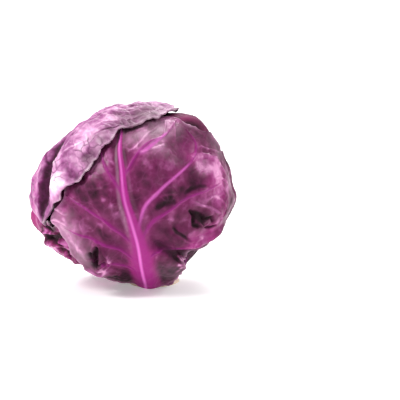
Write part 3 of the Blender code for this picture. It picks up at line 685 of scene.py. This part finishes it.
             0.0125, -0.0088),
            (((-56, 30), (-54, 14), (-53, 0)), 0.0060, 0.0016),
        ),
        swells=((-80, 12, 33, 0.0078), (-46, 12, 13, 0.0026), (-40, 26, 16, 0.0006)),
        flares=(
            (-20, 36, 20, 0.0006), (20, 58, 26, 0.0006), (-88, -10, 14, 0.0010), (165, 30, 26, 0.0020),
        ),
        wave=(0.5, 23), phase=2.6, grid=285, net_mm=8.5, net_high=-0.00034, blister=0.0003,
        vein_scale=0.8, ragged=0.0012,
        wrinkles=(
            (((-40, 52), (-22, 58), (0, 62), (24, 64)), 0.0018, 0.0009),
            (((-70, 56), (-48, 64), (-20, 70), (20, 72)), 0.0018, 0.0010),
            (((-30, 44), (-20, 50), (-4, 57)), 0.0012, -0.0007),
            (((-84, 60), (-70, 70), (-30, 78)), 0.0020, 0.0010),
            (((-52, 26), (-46, 34), (-34, 42)), 0.0012, 0.0006),
            # the furrow's wall, painted dark as shade, with creases that run into it
            (((-80, 42), (-71, 32), (-67, 22), (-65, 12), (-64, 2), (-62, -7), (-60, -14)),
             0.0064, -0.0012),
            (((-84, 30), (-76, 24), (-68, 20)), 0.0016, -0.0006),
            (((-82, 14), (-74, 11), (-66, 8)), 0.0016, -0.0006),
            (((-48, 20), (-54, 16), (-60, 10)), 0.0014, -0.0004),
        ),
        # painted shade on the furrow's wall and painted highlights on the bright patch low on the left, on
        # the furrow's far edge and on the outer roll, among darker and paler patches of the leaf's own
        # colour
        tints_and_painted_light=(
            (-47, 11, 12, 0.52), (-38, 34, 11, 0.22), (-32, 50, 11, 0.04), (-44, 24, 11, 0.06),
            (-54, 26, 8, 0.30), (-67, 27, 7, -0.24), (-66, 16, 8, -0.30), (-65, 5, 8, -0.34),
            (-63, -7, 7, -0.30), (-59, 24, 5, 0.30), (-57, 16, 5, 0.40), (-55, 6, 5, 0.40),
            (-54, -4, 5, 0.40), (-77, 14, 9, 0.24), (-76, 4, 8, 0.28), (-73, -7, 6, 0.28),
            (-92, 4, 12, 0.10), (-28, 30, 9, -0.30), (-24, 22, 8, -0.26), (-34, 20, 8, -0.20),
            (10, 60, 20, -0.30), (-10, 54, 12, -0.12), (-60, 46, 22, 0.12), (-36, 36, 9, 0.14),
            (-10, 70, 26, -0.10), (42, 64, 20, -0.24), (-150, 24, 50, -0.26), (120, 70, 40, -0.20),
        ),
        waxes=(
            (-20, 42, 14, 0.80), (-24, 28, 10, 0.75), (8, 60, 22, 0.85), (60, 66, 24, 0.60),
            (-36, 28, 8, 0.30),
        ),
        flushes=((-80, 6, 18, 0.35), (-76, -6, 10, 0.5), (-64, 4, 12, 0.1), (-150, 20, 50, 0.3)),
        threads=((-20, 68, 24), (-60, 64, 22), (60, 70, 34)),
    ),
)


def inner_ball(ways):
    radius = ball(ways)
    for leaf in LEAVES:
        radius = radius - leaf.sampled("room", ways)
    return radius


def beneath(number, ways):
    """Radius of whatever the leaf of that number lies on."""
    radius = inner_ball(ways)
    for other in LEAVES[:number]:
        radius = radius + other.sampled("cover", ways)
    return radius


def disc(count):
    """A square grid drawn onto a round disc: each ring of the square becomes a circle. Gives (count + 1)
    squared points as radius 0 to 1 and turn in degrees."""
    axis = np.linspace(-1, 1, count + 1)
    a, b = np.meshgrid(axis, axis, indexing="ij")
    a, b = a.ravel(), b.ravel()
    flatter = np.abs(a) > np.abs(b)
    radius = np.where(flatter, a, b)
    with np.errstate(divide="ignore", invalid="ignore"):
        turn = np.where(flatter, 45 * b / a, 90 - 45 * a / b)
    turn = np.where(np.abs(radius) < 1e-9, 0, turn)
    return np.abs(radius), turn + np.where(radius < 0, 180, 0)


def squares(count, start, flip):
    """Corner numbers of the faces of a square grid of points."""
    i, j = np.meshgrid(np.arange(count), np.arange(count), indexing="ij")
    a = (i * (count + 1) + j).ravel()
    quad = np.stack([a, a + count + 1, a + count + 2, a + 1], axis=1) + start
    return quad[:, ::-1] if flip else quad


def border(count, start):
    """Numbers of the points on the border of a square grid, once round."""
    n = count + 1
    side = np.arange(count)
    loop = np.concatenate([side * n, count * n + side, (count - side) * n + count, count - side])
    return loop + start


def grid_places(leaf, count, seed):
    """The points of a round grid on a leaf's flat map, with small teeth along its edge."""
    radius, turn = disc(count)
    turn = (turn + 180) % 360 - 180
    rays = np.stack([np.cos(np.radians(turn)), np.sin(np.radians(turn))], axis=1)
    tooth = leaf.ragged * cloud(*(rays.T * TOOTH_RING), TOOTH_SIZE, seed)
    return rays * (radius * (leaf.edge_at(turn) + tooth * radius**8))[:, None]


def finished_skin(number, places, fine):
    """A leaf at places of its flat map: the way to each from the head's centre, the radius of its outer
    and inner face, and the values that its material reads. Only the outer face has the fine relief."""
    leaf = LEAVES[number]
    u, v = places.T * 1000

    def noise(size, seed):
        return cloud(u, v, size, seed + number)

    ways = leaf.ways(places)
    inset = np.clip(leaf.inset(places), 0, None)
    inland = smooth_step(inset / 0.004)
    lift = leaf.lift(ways, places, inset)
    rib, body, crest_highlight, flanks, foot_glow = leaf.midrib(places)
    vein, vein_mask, glow, shine = leaf.side_veins(places)
    relief, hollow = leaf.hollows(places)

    warp_u, warp_v = NET_WARP * noise(9, 11), NET_WARP * noise(9, 29)
    far = net(u + warp_u, v + warp_v, leaf.net_mm, 3 + number)
    small_far = net(u + 0.5 * warp_u, v + 0.5 * warp_v, leaf.net_mm * SMALL_CELL, 17 + number)
    lines = smooth_step(0.55 + 0.9 * noise(13, 39)) * np.exp(-((far / NET_LINE) ** 2))
    small_lines = smooth_step(0.35 + 1.1 * noise(9, 47)) * np.exp(-((small_far / SMALL_NET_LINE) ** 2))
    fine_veins = lines + 0.4 * small_lines
    creases = np.exp(-((cloud(u + warp_u, v + warp_v, CREASE_SIZE, 211 + number) / CREASE_LINE) ** 2))
    creases = creases * smooth_step(0.55 + 1.2 * noise(15, 221)) * inland
    relief = relief + (leaf.net_high * fine_veins + leaf.blister * smooth_step(far / 3.0)) * inland
    relief = relief + sum(height * noise(size, seed) for size, height, seed in BUMPS) * inland
    relief = relief + CREASE_HEIGHT * creases
    depth_left = lift + 0.0004
    relief = np.where(relief < 0, -depth_left * np.tanh(-relief / depth_left), relief)
    curl = CURL_HEIGHT * np.exp(-inset / CURL_WIDTH) * (0.6 + 0.4 * noise(5, 88))

    from_foot = (places - leaf.rib[0]) * 1000
    turn, away = np.arctan2(from_foot[:, 1], from_foot[:, 0]), np.hypot(from_foot[:, 0], from_foot[:, 1])
    streaks = cloud(turn * 60, away * 0.2, STREAK_SIZE, 151 + number)
    tone = MID_TONE + leaf.tone + sum(strength * noise(size, seed) for size, strength, seed in MOTTLES)
    # creases and many of the tint patches add painted highlights and shade to the leaf's own mottled and
    # streaked colour
    tone = tone + STREAK_STRENGTH * streaks + CREASE_HIGHLIGHT * creases + patches(ways, leaf.tints_and_painted_light)
    # painted shade in hollows, and a painted highlight on ridges
    tone = tone - HOLLOW_SHADE * np.clip(hollow, -RIDGE_SHINE, 1)
    # wax, magenta, the net and the veins' colour fade out in hollows, so the painted shade there stays
    # dark
    outside_painted_shade = 1 - smooth_step(1.3 * hollow)
    pale = np.clip(patches(ways, [(*spot, 1) for spot in leaf.threads]), 0, 1)
    wax = patches(ways, leaf.waxes) * (1 + 0.7 * noise(6, 171)) + 0.36 * flanks
    flush = patches(ways, leaf.flushes) * (1 + 0.5 * noise(7, 181)) + 0.5 * glow + foot_glow
    values = {
        "tone": np.clip(tone, DARKEST, 1),
        "wax": np.clip(wax, 0, 1) * outside_painted_shade,
        "flush": np.clip(flush, 0, 1) * (0.25 + 0.75 * outside_painted_shade),
        "rib": body,
        # painted highlight along the midrib and the broad veins
        "crest_highlight": np.maximum(crest_highlight, 0.45 * shine),
        "vein": vein_mask * (0.2 + 0.8 * outside_painted_shade),
        "net": np.clip(fine_veins, 0, 1) * (1 - pale) * outside_painted_shade,
        "thread": np.clip(fine_veins, 0, 1) * pale,
        "rim": np.exp(-inset / RIM_WIDTH) * smooth_step(0.6 + 0.8 * noise(7, 191)),
    }
    under = beneath(number, ways) + lift
    outer = under + curl + THIN + np.maximum(rib, vein) + (relief if fine else 0)
    floor = (CENTRE[2] - FLOOR_CLEARANCE) / np.maximum(-ways[:, 2], 1e-3)
    squeeze = np.minimum(1, floor / outer)
    return ways, outer * squeeze, (under + curl * 0.9) * squeeze, values


def finished_blade(number):
    """A leaf as a closed mesh. The outer face is a fine grid over the leaf's flat map, the inner face one
    a third as fine, kept under the lowest of the outer points near it, and a bevel joins their borders.
    Returns points, squares, triangles, the values at each point and its place on the flat map in mm."""
    leaf = LEAVES[number]
    outer_n, inner_n = leaf.grid, leaf.grid // 3
    outer_places, inner_places = grid_places(leaf, outer_n, number), grid_places(leaf, inner_n, number)
    ways, outer, _, values = finished_skin(number, outer_places, True)
    inner_ways, _, inner, inner_values = finished_skin(number, inner_places, False)
    n = outer_n + 1
    sheet = np.pad(outer.reshape(n, n), 2, mode="edge")
    lowest = np.min([sheet[i : i + n, j : j + n] for i in range(5) for j in range(5)], axis=0)
    inner = np.minimum(inner, lowest[::3, ::3].ravel() - THIN)
    points = np.concatenate([CENTRE + ways * outer[:, None], CENTRE + inner_ways * inner[:, None]])
    top, low = border(outer_n, 0), border(inner_n, len(outer_places))
    steps = np.arange(len(low))
    bevel = [np.stack([low, np.roll(low, -1), top[(3 * steps + 3) % len(top)]], axis=1)]
    for k in range(3):
        bevel.append(np.stack([low, top[(3 * steps + k + 1) % len(top)], top[3 * steps + k]], axis=1))
    faces = [squares(outer_n, 0, False), squares(inner_n, len(outer_places), True)]
    values = {key: np.concatenate([values[key], inner_values[key]]) for key in values}
    flat = np.concatenate([outer_places, inner_places]) * 1000
    return points, faces, np.concatenate(bevel), values, flat


def make_mesh(name, points, quads, triangles, values, flat):
    """Put whole arrays of points and faces into a mesh, with one attribute for each value and the flat
    map, in millimetres, as its UV map."""
    corners = np.concatenate([block.ravel() for block in (*quads, triangles)])
    sizes = np.concatenate([np.full(sum(len(q) for q in quads), 4), np.full(len(triangles), 3)])
    mesh = bpy.data.meshes.new(name)
    mesh.vertices.add(len(points))
    mesh.vertices.foreach_set("co", points.ravel())
    mesh.loops.add(len(corners))
    mesh.loops.foreach_set("vertex_index", corners)
    mesh.polygons.add(len(sizes))
    mesh.polygons.foreach_set("loop_start", np.concatenate([[0], np.cumsum(sizes)[:-1]]))
    mesh.update(calc_edges=True)
    mesh.validate()
    for key, value in values.items():
        layer = mesh.attributes.new(key, "FLOAT", "POINT")
        layer.data.foreach_set("value", value.astype(np.float32))
    layer = mesh.uv_layers.new(name="leaf_map")
    layer.data.foreach_set("uv", flat[corners].astype(np.float32).ravel())
    mesh.shade_smooth()
    obj = bpy.data.objects.new(name, mesh)
    bpy.context.scene.collection.objects.link(obj)
    return obj


def linear(colour):
    """An sRGB hex colour as linear red, green, blue and alpha."""
    parts = [int(colour[i : i + 2], 16) / 255 for i in (1, 3, 5)]
    return (*(c / 12.92 if c <= 0.04045 else ((c + 0.055) / 1.055) ** 2.4 for c in parts), 1.0)


def new_material(name):
    """An empty node material with a Principled surface; returns it with its tree and surface node."""
    material = bpy.data.materials.new(name)
    material.use_nodes = True
    tree = material.node_tree
    return material, tree, tree.nodes["Principled BSDF"]


def add(tree, kind, links=(), **settings):
    """Add a node: settings are its properties, or its inputs by name; links are (input, socket) pairs."""
    node = tree.nodes.new(kind)
    for key, value in settings.items():
        if hasattr(node, key):
            setattr(node, key, value)
        else:
            node.inputs[key.replace("_", " ")].default_value = value
    for key, socket in links:
        tree.links.new(socket, node.inputs[key])
    return node


def fact(tree, name):
    return add(tree, "ShaderNodeAttribute", attribute_name=name).outputs["Fac"]


MIX_LOW, MIX_HIGH, MIX_RESULT = 6, 7, 2  # the colour sockets of a Mix node


def blend(tree, amount, low, high):
    """Mix two colours, each a socket or a hex value, by a socket."""
    node = add(tree, "ShaderNodeMix", data_type="RGBA")
    tree.links.new(amount, node.inputs["Factor"])
    for slot, value in ((MIX_LOW, low), (MIX_HIGH, high)):
        if isinstance(value, str):
            node.inputs[slot].default_value = linear(value)
        else:
            tree.links.new(value, node.inputs[slot])
    return node.outputs[MIX_RESULT]


def maths(tree, operation, a, b, clamp=False):
    node = add(tree, "ShaderNodeMath", operation=operation, use_clamp=clamp)
    for slot, value in ((0, a), (1, b)):
        if isinstance(value, (int, float)):
            node.inputs[slot].default_value = value
        else:
            tree.links.new(value, node.inputs[slot])
    return node.outputs[0]


def cabbage_leaf(name, shades, wax, flush, net, thread, vein, rib, crest_highlight, rim, net_strength, roughness):
    """Red cabbage leaf: purple under a waxy skin. It looks satin, paler and greyer where the wax is thick,
    with magenta ribs that carry a painted highlight; hollows are painted darker as shade and made duller.
    shades run from the darkest, used for the painted shade of hollows, to the palest, used for painted
    highlights on bulges."""
    material, tree, surface = new_material(name)
    tone = fact(tree, "tone")
    place = add(tree, "ShaderNodeTexCoord").outputs["Object"]
    mottle = add(tree, "ShaderNodeTexNoise", [("Vector", place)], Scale=260.0, Detail=4.0, Roughness=0.6)
    speck = maths(tree, "MULTIPLY", maths(tree, "SUBTRACT", mottle.outputs["Fac"], 0.5), 0.35)
    shade = maths(tree, "ADD", tone, speck, clamp=True)
    ramp = add(tree, "ShaderNodeValToRGB", [("Fac", shade)])
    stops = ramp.color_ramp.elements
    while len(stops) < len(shades):
        stops.new(0.5)
    for n, colour in enumerate(shades):
        stops[n].position = n / (len(shades) - 1)
        stops[n].color = linear(colour)
    colour = ramp.outputs["Color"]
    for layer, strength, tint in (("flush", 0.8, flush), ("wax", 0.75, wax), ("net", net_strength, net),
                                  ("thread", 0.6, thread), ("vein", 0.75, vein), ("rib", 0.92, rib),
                                  ("crest_highlight", 0.9, crest_highlight), ("rim", 0.8, rim)):
        colour = blend(tree, maths(tree, "MULTIPLY", fact(tree, layer), strength), colour, tint)
    tree.links.new(colour, surface.inputs["Base Color"])
    grain = add(tree, "ShaderNodeTexNoise", [("Vector", place)], Scale=900.0, Detail=3.0, Roughness=0.55)
    bump = add(tree, "ShaderNodeBump", [("Height", grain.outputs["Fac"])], Strength=0.16, Distance=0.0004)
    tree.links.new(bump.outputs["Normal"], surface.inputs["Normal"])
    satin = add(tree, "ShaderNodeMapRange", [("Value", mottle.outputs["Fac"])], To_Min=roughness - 0.06,
                To_Max=roughness + 0.1)
    dull = maths(tree, "MULTIPLY", maths(tree, "SUBTRACT", 0.55, tone, clamp=True), 0.8)
    rough = maths(tree, "ADD", satin.outputs["Result"], dull, clamp=True)
    tree.links.new(rough, surface.inputs["Roughness"])
    surface.inputs["IOR"].default_value = 1.45
    surface.inputs["Specular IOR Level"].default_value = 0.22
    surface.inputs["Coat Weight"].default_value = 0.03
    surface.inputs["Coat Roughness"].default_value = 0.20
    return material


def packed_leaves():
    """The tight inner leaves, seen only through cracks: dark purple, waxy, with paler mottling."""
    material, tree, surface = new_material("packed_cabbage_leaves")
    place = add(tree, "ShaderNodeTexCoord").outputs["Object"]
    mottle = add(tree, "ShaderNodeTexNoise", [("Vector", place)], Scale=120.0, Detail=5.0, Roughness=0.6)
    tree.links.new(blend(tree, mottle.outputs["Fac"], "#2E0E28", "#6A3560"), surface.inputs["Base Color"])
    surface.inputs["Roughness"].default_value = 0.45
    return material


def cut_stalk():
    """Cut cabbage stalk: moist cream pith with a fibrous ring, pink towards the skin."""
    material, tree, surface = new_material("cut_stalk")
    place = add(tree, "ShaderNodeTexCoord").outputs["Object"]
    streaks = add(tree, "ShaderNodeTexNoise", [("Vector", place)], Scale=420.0, Detail=4.0)
    apart = add(tree, "ShaderNodeSeparateXYZ", [("Vector", place)])
    height = maths(tree, "MULTIPLY", apart.outputs["Z"], 70.0, clamp=True)
    body = blend(tree, streaks.outputs["Fac"], "#E9CFB4", "#F6E3CD")
    colour = blend(tree, height, body, "#D98BA2")
    tree.links.new(colour, surface.inputs["Base Color"])
    surface.inputs["Roughness"].default_value = 0.5
    bump = add(tree, "ShaderNodeBump", [("Height", streaks.outputs["Fac"])], Strength=0.3, Distance=0.0004)
    tree.links.new(bump.outputs["Normal"], surface.inputs["Normal"])
    return material


def make_floor():
    """White frosted light table, large enough to fill the view: its faint glow keeps the shadow pale."""
    size = 6.0
    corners = np.array([[-size, -size, 0], [size, -size, 0], [size, size, 0], [-size, size, 0]], float)
    floor = make_mesh("floor", corners, [], np.array([[0, 1, 2], [0, 2, 3]]), {}, corners[:, :2])
    material, tree, surface = new_material("frosted_light_table")
    surface.inputs["Base Color"].default_value = linear("#F4F3F3")
    surface.inputs["Emission Color"].default_value = linear("#FFFFFF")
    surface.inputs["Emission Strength"].default_value = 0.31
    surface.inputs["Roughness"].default_value = 0.55
    floor.data.materials.append(material)


def make_lights():
    """A white room that is brightest overhead and behind, with a large soft light high behind the head and
    a small one high on each side."""
    scene = bpy.context.scene
    world = bpy.data.worlds.new("white_room")
    scene.world = world
    world.use_nodes = True
    tree = world.node_tree
    way = add(tree, "ShaderNodeTexCoord").outputs["Generated"]
    apart = add(tree, "ShaderNodeSeparateXYZ", [("Vector", way)])
    behind = maths(tree, "MULTIPLY", apart.outputs["Y"], 0.45)
    above = maths(tree, "MULTIPLY", apart.outputs["Z"], 0.85)
    glow = add(tree, "ShaderNodeMapRange", [("Value", maths(tree, "ADD", behind, above))],
               interpolation_type="SMOOTHSTEP", From_Min=-0.45, From_Max=0.85, To_Min=0.05, To_Max=0.70)
    tree.nodes["Background"].inputs["Color"].default_value = (1, 1, 1, 1)
    tree.links.new(glow.outputs["Result"], tree.nodes["Background"].inputs["Strength"])
    for name, way, distance, size, power in (
        ("back", (176, 42), 4.4, 2.85, 176.0),
        ("left", (-64, 42), 0.9, 0.30, 7.0),
        ("right", (76, 38), 0.9, 0.30, 3.4),
    ):
        light = bpy.data.lights.new(name, "AREA")
        light.size = size
        light.energy = power
        lamp = bpy.data.objects.new(name, light)
        lamp.location = Vector(CENTRE + on_head(*way) * distance)
        lamp.rotation_euler = (Vector(CENTRE) - lamp.location).to_track_quat("-Z", "Y").to_euler()
        scene.collection.objects.link(lamp)


def make_camera():
    """The photograph's view: the camera looks along +Y from the front, tipped down, and stands so that the
    middle of the head falls on its pixel."""
    camera = bpy.data.cameras.new("camera")
    camera.lens = LENS_MM
    camera.sensor_width = SENSOR_MM
    eye = bpy.data.objects.new("camera", camera)
    tip = math.radians(CAMERA_ELEVATION)
    ahead = np.array([0, math.cos(tip), -math.sin(tip)])
    up = np.array([0, math.sin(tip), math.cos(tip)])
    metres_per_pixel = CAMERA_DISTANCE * SENSOR_MM / LENS_MM / IMAGE_PX
    off = (IMAGE_PX / 2 - np.array(HEAD_AT_PX)) * metres_per_pixel
    eye.location = Vector(CENTRE - ahead * CAMERA_DISTANCE + np.array([1.0, 0, 0]) * off[0] - up * off[1])
    eye.rotation_euler = (math.pi / 2 - tip, 0, 0)
    bpy.context.scene.collection.objects.link(eye)
    bpy.context.scene.camera = eye


# crest: colour of the painted highlight along the ribs
MATERIALS = {
    FRONT: cabbage_leaf(
        "front_cabbage_leaf",
        shades=("#1E0512", "#4A0F33", "#68224C", "#9E5286", "#EBA8D4"),
        wax="#B090A2", flush="#A4267C", net="#9A4680", thread="#C08FB2", vein="#8E1E76", rib="#A42682",
        crest_highlight="#F07CDA", rim="#D9A4C6", net_strength=0.14, roughness=0.36,
    ),
    CROWN: cabbage_leaf(
        "crown_cabbage_leaf",
        shades=("#2E0720", "#6A2458", "#A25C90", "#D49AC2", "#FDE0F2"),
        wax="#866878", flush="#B83E94", net="#561A4A", thread="#E8C4DA", vein="#B86AA2", rib="#B46A9E",
        crest_highlight="#E0A6D0", rim="#D4B8C8", net_strength=0.80, roughness=0.36,
    ),
    MAGENTA: cabbage_leaf(
        "magenta_cabbage_leaf",
        shades=("#1E0412", "#520E34", "#842064", "#BA5A9E", "#F0AADA"),
        wax="#B58FA8", flush="#A42270", net="#A04684", thread="#D49AC2", vein="#9C2C80", rib="#A83088",
        crest_highlight="#E468C4", rim="#F2CCE2", net_strength=0.25, roughness=0.36,
    ),
    PURPLE: cabbage_leaf(
        "purple_cabbage_leaf",
        shades=("#200514", "#460E30", "#682650", "#98547E", "#D094B8"),
        wax="#9F8096", flush="#962870", net="#864070", thread="#B081A4", vein="#8A2E7C", rib="#94347C",
        crest_highlight="#CE6CBA", rim="#CDA0BC", net_strength=0.25, roughness=0.38,
    ),
}

for number, leaf in enumerate(LEAVES):
    piece = make_mesh(leaf.name + "_fine", *finished_blade(number))
    piece.data.materials.append(MATERIALS[leaf.material])
    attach(piece, "root")
    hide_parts(leaf.name)

inner_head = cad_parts["inner_head"]
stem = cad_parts["stem"]
for node, material in ((inner_head, packed_leaves()), (stem, cut_stalk())):
    node.data.materials.clear()
    node.data.materials.append(material)

make_floor()
make_lights()
make_camera()
bpy.context.scene.view_settings.view_transform = "Standard"
